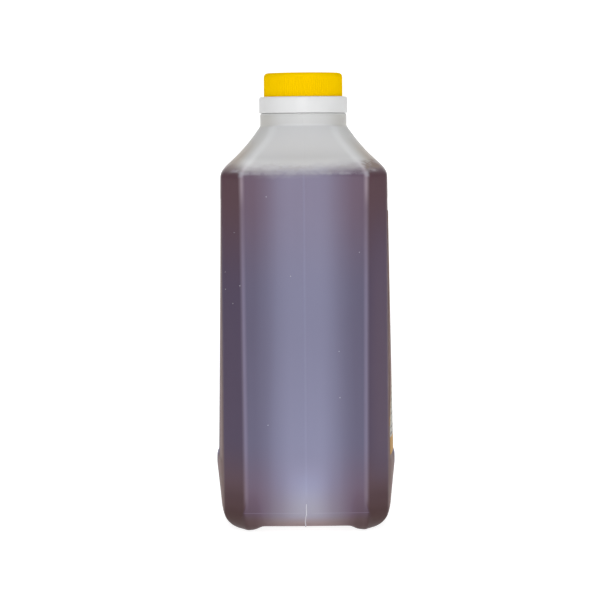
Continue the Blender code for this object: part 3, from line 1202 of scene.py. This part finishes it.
@dataclass
class Jug:
    """The blown jug: body, shoulder, neck bead and the plain finish inside the closure."""

    shape: JugShape
    level: float
    wall: float = 0.0012
    bead_round: float = 0.0012
    bead_foot: tuple[float, float] = (0.0004, 0.0012)
    bead_side: float = 0.0008
    finish_radius: float = 0.0185
    finish_ledge: tuple[float, float] = (0.0012, 0.001)
    mouth_z: float = 0.2363
    mouth_round: tuple[float, float] = (0.0003, 0.0006)
    shoulder_steps: int = 20

    def outer(self, name: str) -> bpy.types.Object:
        """Return the jug's outer surface, open at its mouth."""
        shape = self.shape
        base = shape.base_rings()
        loft = RingLoft(name, base[0])
        rings = [*base[1:], *shape.side_rings()]
        rings += [shape.shoulder_ring((i + 1) / self.shoulder_steps) for i in range(self.shoulder_steps)]
        rings += self.neck()
        for ring in rings:
            loft.draw(ring)
        loft.close_first(14, shape.floor)
        obj = loft.done()
        tidy_surface(obj)
        if min(obj.data.polygons, key=lambda face: face.center.z).normal.z > 0:
            flip_faces(obj)
        return obj

    def neck(self) -> list[Ring]:
        """Rings of the bead and the finish."""
        r, top, bead = self.shape.neck_radius, self.shape.bead_top, self.bead_round
        wide, high = self.finish_ledge
        inward, down = self.mouth_round
        profile = [(r, self.shape.neck_z + rise) for rise in self.bead_foot]
        profile += [(r, top - bead - self.bead_side), *arc((r - bead, top - bead), bead, 0, 90, 4)]
        profile += [(self.finish_radius + wide, top), (self.finish_radius, top + high)]
        profile += [(self.finish_radius, self.mouth_z - down), (self.finish_radius - inward, self.mouth_z)]
        rings = []
        for radius, z in profile:
            seam = self.shape.seam_proud if radius == r else 0.0
            rings.append([(x, y, z) for x, y in self.shape.neck_plan(radius, seam)])
        return rings

    def build(self) -> bpy.types.Object:
        """Model the jug with its wall and dress it."""
        obj = self.outer("jug_wall")
        subdivide_smooth(obj, 1)
        apply_modifier(obj, "SOLIDIFY", {"thickness": self.wall, "offset": -1.0, "use_even_offset": True})
        smooth(obj, 50.0)
        finish = MilkyPlastic(self.shape, self.level)
        return set_out(obj, "bottle", finish.build())


@dataclass
class PinchOff:
    """The thin tail of plastic left where the mould pinched the bottom of the blown tube."""

    shape: JugShape
    low: float = 0.0026
    high: float = 0.0149
    kink: float = 0.0086
    aside: float = 0.0005
    radius: float = 0.00028
    proud: float = 0.00019
    kink_half: float = 0.0008
    wave: float = 0.25
    wave_rate: float = 1400.0
    steps: int = 18

    def route(self, side: Side) -> list[Vector]:
        """Return the tail's route up one narrow face: straight above its kink, a little aside below it."""
        points = []
        for i in range(self.steps + 1):
            z = mix(self.low, self.high, i / self.steps)
            turn = clamp(z / self.shape.base_round)
            inset = 1.0 - math.sqrt(max(0.0, 1.0 - (1.0 - turn) ** 2))
            y = self.shape.narrow_surface(0.0) - self.shape.base_inset_narrow * inset
            lower = ease((self.kink + self.kink_half - z) / (2.0 * self.kink_half))
            sway = -self.aside * lower * (1.0 + self.wave * math.sin(z * self.wave_rate))
            points.append(Vector((sway, side.value * (y + self.proud - self.radius), z)))
        return points

    def build(self) -> None:
        """Model one tail for each narrow face."""
        material = PinchedPlastic(self.kink).build()
        for side in Side:
            curve = bpy.data.curves.new("tail", "CURVE")
            curve.dimensions = "3D"
            curve.bevel_depth = self.radius
            curve.bevel_resolution = 2
            curve.use_fill_caps = True
            points = self.route(side)
            spline = curve.splines.new("POLY")
            spline.points.add(len(points) - 1)
            for i, (point, place) in enumerate(zip(spline.points, points)):
                point.co = (*place, 1.0)
                point.radius = 1.0 if place.z < self.kink else mix(0.95, 0.72, i / self.steps)
            activate(new_object(f"pinch_tail_{side.name.lower()}", curve))
            bpy.ops.object.convert(target="MESH")
            obj = bpy.context.object
            tidy_surface(obj, 1e-5)
            smooth(obj, 60.0)
            set_out(obj, None, material)


@dataclass
class HoneyFill:
    """The honey: it reaches just into the wall, and creeps up it a little at its rim."""

    jug: Jug
    level: float
    into_wall: float = 0.0005
    creep: float = 0.0009
    creep_width: float = 0.0016
    # Shares of the creep's width and height for each step down from the rim
    creep_steps: Rows = ((0.4, 0.55), (0.6, 0.3), (1.5, 0.15))
    spare: float = 0.006

    def build(self) -> bpy.types.Object:
        """Cut a copy of the jug's inside off level, and sink its top inside the rim."""
        obj = self.jug.outer("honey_fill")
        subdivide_smooth(obj, 1)
        with edit_mode(obj):
            self.cut(self.level + self.spare, False)
            bpy.ops.mesh.select_all(action="SELECT")
            bpy.ops.transform.shrink_fatten(value=-self.into_wall, use_even_offset=True)
            self.cut(self.level, True)
            select_parts(obj, "faces", self.on_top)
            for width, drop in self.creep_steps:
                bpy.ops.mesh.inset(thickness=self.creep_width * width, depth=-self.creep * drop)
        smooth(obj, 60.0)
        return set_out(obj, "honey", DarkHoney().build())

    @staticmethod
    def cut(height: float, fill: bool) -> None:
        """Cut the mesh in hand off level."""
        bpy.ops.mesh.select_all(action="SELECT")
        bpy.ops.mesh.bisect(plane_co=(0.0, 0.0, height), plane_no=(0.0, 0.0, 1.0), clear_outer=True, use_fill=fill)

    def on_top(self, face: bmesh.types.BMFace) -> bool:
        """Tell whether a face lies in the honey's level top."""
        return face.normal.z > 0.99 and abs(face.calc_center_median().z - self.level) < 1e-5


class Speck:
    """One small bubble, modelled once and copied."""

    @staticmethod
    def field(name: str, places: list[tuple[Vector, float]], detail: int) -> bpy.types.Object:
        """Join bubbles at places, each with its own radius.

        Args:
            name: the piece's name.
            places: centres and radii.
            detail: how finely a bubble is divided.

        Returns:
            The joined piece.
        """
        deselect_all()
        bpy.ops.mesh.primitive_ico_sphere_add(subdivisions=detail, radius=1.0)
        pattern = bpy.context.object
        bm = bmesh.new()
        for centre, radius in places:
            start = len(bm.verts)
            bm.from_mesh(pattern.data)
            bm.verts.ensure_lookup_table()
            for vert in bm.verts[start:]:
                vert.co = vert.co * radius + centre
        mesh = bpy.data.meshes.new(name)
        bm.to_mesh(mesh)
        bm.free()
        bpy.data.objects.remove(pattern)
        obj = new_object(name, mesh)
        smooth(obj, 180.0)
        return obj


@dataclass
class TrappedAir:
    """Small bubbles against the wall, and the broken line of foam at the honey's rim."""

    shape: JugShape
    level: float
    depth: float = 0.00075
    proud: float = 0.00009
    extra: int = 26
    extra_radii: tuple[float, float] = (0.00022, 0.00042)
    back_reach: float = 0.03
    back_heights: tuple[float, float] = (0.03, 0.17)
    wide_reach: float = 0.046
    wide_heights: tuple[float, float] = (0.04, 0.17)
    foam_count: int = 620
    foam_radii: tuple[float, float] = (0.00012, 0.00034)
    foam_drop: float = 0.0006
    foam_inset: float = 0.0009
    foam_scatter: float = 0.00028
    foam_least: float = 0.25
    # Waves along X and Y, and their start, that make the foam thicker in some stretches
    foam_waves: Point = (190.0, 130.0, 1.3)
    seed: int = 7
    # X, Z and radius of the bubbles that show on the front
    front: Rows = (
        (-0.0194, 0.1742, 0.00045),
        (-0.036, 0.1558, 0.00034),
        (0.0283, 0.1453, 0.00036),
        (-0.041, 0.1352, 0.00034),
        (-0.0072, 0.1333, 0.00045),
        (-0.033, 0.1284, 0.00062),
        (-0.0408, 0.1262, 0.00044),
        (-0.037, 0.119, 0.0004),
        (0.0175, 0.0942, 0.00036),
        (0.0178, 0.0702, 0.0004),
        (-0.0195, 0.0562, 0.00036),
    )

    def on_front(self, x: float, radius: float) -> float:
        """Y of a bubble that stands a hair proud of the front, at an x."""
        if abs(x) < self.shape.panel_half:
            return -(self.shape.narrow_surface(x) + self.proud - radius)
        share = (abs(x) - self.shape.panel_half) / (self.shape.corner_x - self.shape.panel_half)
        slant = math.hypot(self.shape.corner_x - self.shape.panel_half, self.shape.narrow_y - self.shape.corner_y)
        along = slant / (self.shape.corner_x - self.shape.panel_half)
        return -(mix(self.shape.narrow_y, self.shape.corner_y, share) + (self.proud - radius) * along)

    def wall_places(self) -> list[tuple[Vector, float]]:
        """Places of the bubbles on the walls."""
        rng = random.Random(self.seed)
        places = [(Vector((x, self.on_front(x, radius), z)), radius) for x, z, radius in self.front]
        for _ in range(self.extra):
            x = rng.uniform(-self.back_reach, self.back_reach)
            place = Vector((x, self.shape.narrow_surface(x) - self.depth, rng.uniform(*self.back_heights)))
            places.append((place, rng.uniform(*self.extra_radii)))
        for _ in range(self.extra):
            y = rng.uniform(-self.wide_reach, self.wide_reach)
            z = rng.uniform(*self.wide_heights)
            x = rng.choice((-1, 1)) * (self.shape.wide_surface(y, z) - self.depth)
            places.append((Vector((x, y, z)), rng.uniform(*self.extra_radii)))
        return places

    def foam_places(self) -> list[tuple[Vector, float]]:
        """Places of the foam along the rim, thicker in some stretches."""
        rng = random.Random(self.seed + 1)
        ring = [Vector(point) for point in self.shape.ring_near(self.level - self.foam_drop)]
        along_x, along_y, start = self.foam_waves
        places = []
        while len(places) < self.foam_count:
            i = rng.randrange(len(ring))
            place = ring[i].lerp(ring[(i + 1) % len(ring)], rng.random())
            patch = 0.5 + 0.5 * math.sin(place.x * along_x + place.y * along_y + start)
            if rng.random() > mix(self.foam_least, 1.0, patch):
                continue
            inward = Vector((place.x, place.y, 0.0)).normalized()
            radius = rng.uniform(*self.foam_radii)
            lift = rng.gauss(0.0, self.foam_scatter)
            places.append((place - inward * (self.foam_inset + radius) + Vector((0, 0, lift)), radius))
        return places

    def build(self) -> None:
        """Model both fields of bubbles."""
        air, foam = self.wall_places(), self.foam_places()
        set_out(Speck.field("wall_bubbles", air, 2), None, AIR_SPECK.build(), len(air))
        set_out(Speck.field("foam_line", foam, 1), None, FOAM_SPECK.build(), len(foam))


# The closure


@dataclass
class ScrewCap:
    """The yellow cap: a ribbed skirt, a rounded shoulder and a roof with a shallow dish."""

    radius: float = 0.0212
    bottom: float = 0.22625
    top: float = 0.239
    bore: float = 0.0192
    roof: float = 0.002
    edge: float = 0.0021
    ribs: int = 120
    points_per_rib: int = 6
    rib_depth: float = 0.00024
    rib_top: float = 0.0024
    rounding: float = 0.0006
    lip: float = 0.0003
    sink: float = 0.0001
    dish: float = 0.00025
    inner_radii: tuple[float, float] = (0.004, 0.012)
    # Height above the lower edge, distance inwards and share of the ribs' depth
    skirt: Rows = (
        (0.0, 0.00025, 0.4), (0.00025, 0.00005, 0.8), (0.0006, 0.0, 1.0), (0.004, 0.0, 1.0), (0.0075, 0.0, 1.0)
    )
    # The same above the height where the ribs run out
    rib_ends: Rows = ((-0.0006, 0.0, 1.0), (0.0, 0.0, 0.75), (0.0003, 0.0001, 0.15))
    # Radius and share of the dish's depth
    roof_rings: Rows = ((0.0176, 0.0), (0.017, 0.6), (0.0165, 1.0), (0.008, 1.0), (0.0018, 1.0), (0.0014, -0.2))

    def ribbed(self, radius: float, z: float, strength: float) -> Ring:
        """Return a ring with the ribs cut to a share of their depth."""
        count = self.ribs * self.points_per_rib
        points = []
        for i in range(count):
            phase = (i % self.points_per_rib) / self.points_per_rib
            valley = 0.5 - 0.5 * math.cos(math.tau * phase)
            r = radius - self.rib_depth * strength * valley**1.5
            angle = math.tau * i / count
            points.append((r * math.cos(angle), r * math.sin(angle), z))
        return points

    def build(self, material: bpy.types.Material) -> bpy.types.Object:
        """Draw the cap from its inner roof, down inside, up outside and over the top."""
        count = self.ribs * self.points_per_rib
        under = self.top - self.roof
        rib_end = self.top - self.rib_top
        loft = RingLoft("screw_cap", round_ring(self.inner_radii[0], under, count))
        inside = [(self.inner_radii[1], under), (self.bore - self.rounding, under), (self.bore, under - self.rounding)]
        inside += [(self.bore, self.bottom + self.lip), (self.bore + self.lip, self.bottom)]
        for radius, z in inside:
            loft.draw(round_ring(radius, z, count))
        for start, profile in ((self.bottom, self.skirt), (rib_end, self.rib_ends)):
            for rise, inward, strength in profile:
                loft.draw(self.ribbed(self.radius - inward, start + rise, strength))
        over = arc((self.radius - self.edge, self.top - self.edge), self.edge - self.sink, 12, 90, 5)
        over += [(radius, self.top - self.sink - self.dish * share) for radius, share in self.roof_rings]
        for radius, z in over:
            loft.draw(round_ring(radius, z, count))
        loft.close_at_centre()
        obj = loft.done()
        with edit_mode(obj):
            select_parts(obj, "edges", lambda edge: edge.is_boundary and abs(edge.verts[0].co.z - under) < NEAR)
            bpy.ops.mesh.edge_face_add()
        tidy_surface(obj)
        smooth(obj, 50.0)
        return set_out(obj, "cap", material)


@dataclass
class TamperCollar:
    """The white collar that stays on the neck."""

    radius: float = 0.0238
    bore: float = 0.0192
    bottom: float = 0.21745
    top: float = 0.2262
    edge: float = 0.0005
    shoulder: float = 0.001
    steps: int = 144

    def at_shoulder(self, vert: bmesh.types.BMVert) -> bool:
        """Tell whether a corner of the section is the outer upper one."""
        return vert.co.x > self.radius - NEAR and vert.co.z > self.top - NEAR

    def at_edge(self, vert: bmesh.types.BMVert) -> bool:
        """Tell whether a corner of the section is one of the other three."""
        return abs(vert.co.x - self.bore) < NEAR or vert.co.z < self.bottom + NEAR

    def build(self, material: bpy.types.Material) -> bpy.types.Object:
        """Bevel a flat section and spin it round the axis."""
        deselect_all()
        bpy.ops.mesh.primitive_plane_add(size=1.0)
        obj = bpy.context.object
        obj.name = "tamper_collar"
        with edit_mode(obj):
            with edit_mesh(obj) as bm:
                for vert in bm.verts:
                    x = self.radius if vert.co.x > 0 else self.bore
                    z = self.top if vert.co.y > 0 else self.bottom
                    vert.co = (x, 0.0, z)
            select_parts(obj, "verts", self.at_shoulder)
            bpy.ops.mesh.bevel(offset=self.shoulder, segments=5, affect="VERTICES")
            select_parts(obj, "verts", self.at_edge)
            bpy.ops.mesh.bevel(offset=self.edge, segments=5, affect="VERTICES")
            bpy.ops.mesh.select_all(action="SELECT")
            bpy.ops.mesh.delete(type="ONLY_FACE")
            bpy.ops.mesh.select_all(action="SELECT")
            bpy.ops.mesh.spin(steps=self.steps, angle=math.tau, center=(0, 0, 0), axis=(0, 0, 1))
        tidy_surface(obj, 1e-5)
        smooth(obj, 50.0)
        return set_out(obj, "tamper_ring", material)


@dataclass
class Label:
    """The label in the recess of one wide face."""

    shape: JugShape
    low: float = 0.0368
    high: float = 0.165
    half: float = 0.041
    off: float = 0.00008
    thickness: float = 0.00018
    columns: int = 40
    rows: int = 50

    def build(self) -> bpy.types.Object:
        """Lay a grid on the recess and give it the paper's thickness."""
        deselect_all()
        bpy.ops.mesh.primitive_grid_add(x_subdivisions=self.columns, y_subdivisions=self.rows, size=2.0)
        obj = bpy.context.object
        obj.name = "side_label"
        with edit_mode(obj), edit_mesh(obj) as bm:
            for vert in bm.verts:
                y = vert.co.x * self.half
                z = mix(self.low, self.high, (vert.co.y + 1.0) / 2.0)
                vert.co = (self.shape.wide_surface(y, z) + self.off, y, z)
        if obj.data.polygons[0].normal.x < 0:
            flip_faces(obj)
        apply_modifier(obj, "SOLIDIFY", {"thickness": self.thickness, "offset": 1.0})
        smooth(obj, 40.0)
        return set_out(obj, "label", LabelPrint(self.low, self.high).build())


# The studio


@dataclass(frozen=True)
class Softbox:
    """A rectangular soft light that looks at the bottle."""

    name: str
    place: Point
    size: tuple[float, float]
    power: float
    colour: Colour = (1.0, 1.0, 1.0)

    def hang(self, target: Point) -> None:
        """Add the light."""
        data = bpy.data.lights.new(self.name, "AREA")
        data.shape = "RECTANGLE"
        data.size, data.size_y = self.size
        data.energy = self.power
        data.color = self.colour
        light = new_object(self.name, data)
        light.location = self.place
        light.rotation_euler = (Vector(target) - Vector(self.place)).to_track_quat("-Z", "Y").to_euler()


@dataclass
class Studio:
    """A pale sweep, soft lights and the camera at the photograph's angle."""

    distance: float = 1.3
    height: float = 0.2085
    pitch: float = 4.06
    roll: float = 0.466
    focal_px: float = 2400.0
    frame_px: float = 600.0
    axis_px: float = 4.75
    sensor: float = 36.0
    floor_half: float = 2.0
    floor_front: float = -2.2
    floor_back: float = 1.3
    backdrop_top: float = 2.4
    sweep_round: float = 0.5
    sweep_tones: Rows = ((0.36, 0.36, 0.36), (0.38, 0.38, 0.38))
    sweep_glow: float = 0.88
    middle: Point = (0.0, 0.0, 0.11)
    softboxes: tuple[Softbox, ...] = (
        Softbox("front_box", (0.0, -2.3, 0.75), (0.65, 1.5), 23.4, (0.97, 0.98, 1.0)),
        Softbox("left_box", (-1.5, -1.25, 0.6), (0.25, 1.6), 3.1),
        Softbox("right_box", (1.5, -1.25, 0.6), (0.25, 1.6), 3.4),
        Softbox("top_box", (0.0, 0.1, 1.7), (1.6, 1.2), 8.0),
    )
    world_colour: Colour = (0.95, 0.97, 1.0)
    world_strength: float = 0.12

    def camera(self) -> None:
        """Place the camera."""
        data = bpy.data.cameras.new("camera")
        data.sensor_width = self.sensor
        data.lens = self.focal_px / self.frame_px * self.sensor
        data.clip_start = 0.01
        camera = new_object("camera", data)
        yaw = math.atan(self.axis_px / self.focal_px)
        turn = Matrix.Rotation(yaw, 4, "Z") @ Matrix.Rotation(math.radians(90.0 - self.pitch), 4, "X")
        turn = turn @ Matrix.Rotation(math.radians(-self.roll), 4, "Z")
        camera.matrix_world = Matrix.Translation((0.0, -self.distance, self.height)) @ turn
        bpy.context.scene.camera = camera

    @staticmethod
    def at_back(edge: bmesh.types.BMEdge) -> bool:
        """Tell whether an edge of the sheet is the back one on the floor."""
        return all(vert.co.y > 0 and vert.co.z < NEAR for vert in edge.verts)

    def sweep(self) -> None:
        """Model the floor and backdrop as one sheet with a round fold."""
        deselect_all()
        bpy.ops.mesh.primitive_plane_add(size=2.0)
        floor = bpy.context.object
        floor.name = "studio_sweep"
        with edit_mode(floor):
            with edit_mesh(floor) as bm:
                for vert in bm.verts:
                    vert.co.x *= self.floor_half
                    vert.co.y = self.floor_front if vert.co.y < 0 else self.floor_back
            select_parts(floor, "edges", self.at_back)
            bpy.ops.mesh.extrude_region_move(TRANSFORM_OT_translate={"value": (0.0, 0.0, self.backdrop_top)})
            select_parts(floor, "edges", self.at_back)
            bpy.ops.mesh.bevel(offset=self.sweep_round, segments=16, affect="EDGES")
        smooth(floor, 60.0)
        graph = Graph("pale_sweep")
        material = graph.finish({
            "Base Color": graph.blend(graph.noise(6.0, 2.0), *self.sweep_tones),
            "Roughness": 0.75,
            "Emission Color": (1.0, 1.0, 1.0),
            "Emission Strength": self.sweep_glow,
        })
        floor.data.materials.append(material)

    def lights(self) -> None:
        """Hang the soft lights and set the dim surroundings."""
        for softbox in self.softboxes:
            softbox.hang(self.middle)
        world = bpy.data.worlds.new("studio_world")
        world.use_nodes = True
        background = world.node_tree.nodes["Background"].inputs
        background["Color"].default_value = (*self.world_colour, 1.0)
        background["Strength"].default_value = self.world_strength
        bpy.context.scene.world = world
        bpy.context.scene.view_settings.view_transform = "Standard"

    def build(self) -> None:
        """Set up everything round the bottle."""
        self.camera()
        self.sweep()
        self.lights()


def main() -> None:
    """Build the bottle piece by piece, then the studio."""
    logging.basicConfig(level=logging.INFO, format="%(message)s")
    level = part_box("honey")[1].z
    shape = JugShape()
    jug = Jug(shape, level)
    jug.build()
    PinchOff(shape).build()
    HoneyFill(jug, level).build()
    TrappedAir(shape, level).build()
    ScrewCap().build(YELLOW_CAP.build())
    TamperCollar().build(WHITE_COLLAR.build())
    Label(shape).build()
    Studio().build()


if __name__ == "__main__":
    main()
